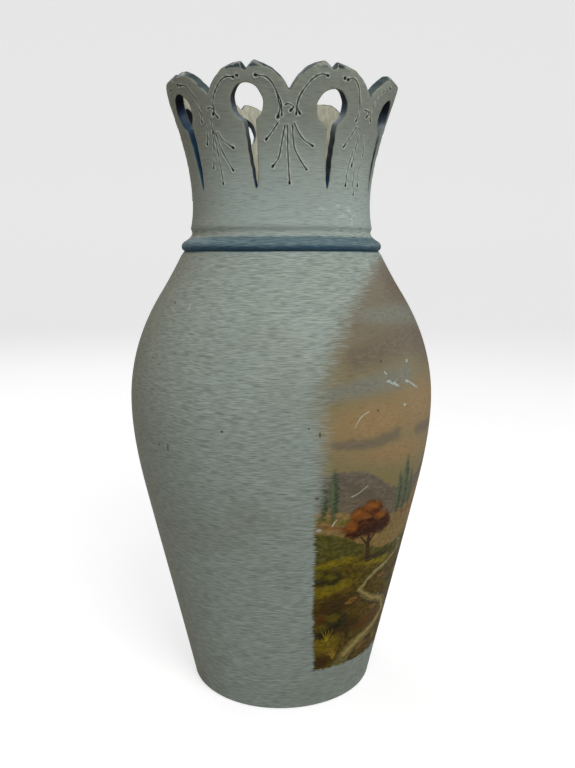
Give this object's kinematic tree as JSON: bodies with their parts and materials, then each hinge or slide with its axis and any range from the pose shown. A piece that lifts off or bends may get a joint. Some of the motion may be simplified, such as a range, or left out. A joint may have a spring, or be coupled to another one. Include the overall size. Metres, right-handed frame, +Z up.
{
  "type": "vase",
  "caption": "Hollow pottery vase with a round belly, a moulded ring under the neck, and a flared crown cut into pierced lobes.",
  "frame": {"origin": "middle of the flat underside, on the surface that the vase stands on", "axes": "+Z up along the turning axis; the front, where the painted panel begins, faces -Y"},
  "size_m": [0.155, 0.155, 0.305],
  "materials": {
    "painted_clay": "matte grey-green paint with fine brush streaks"
  },
  "bodies": {
    "root": {"vase": "painted_clay"}
  },
  "joints": []
}
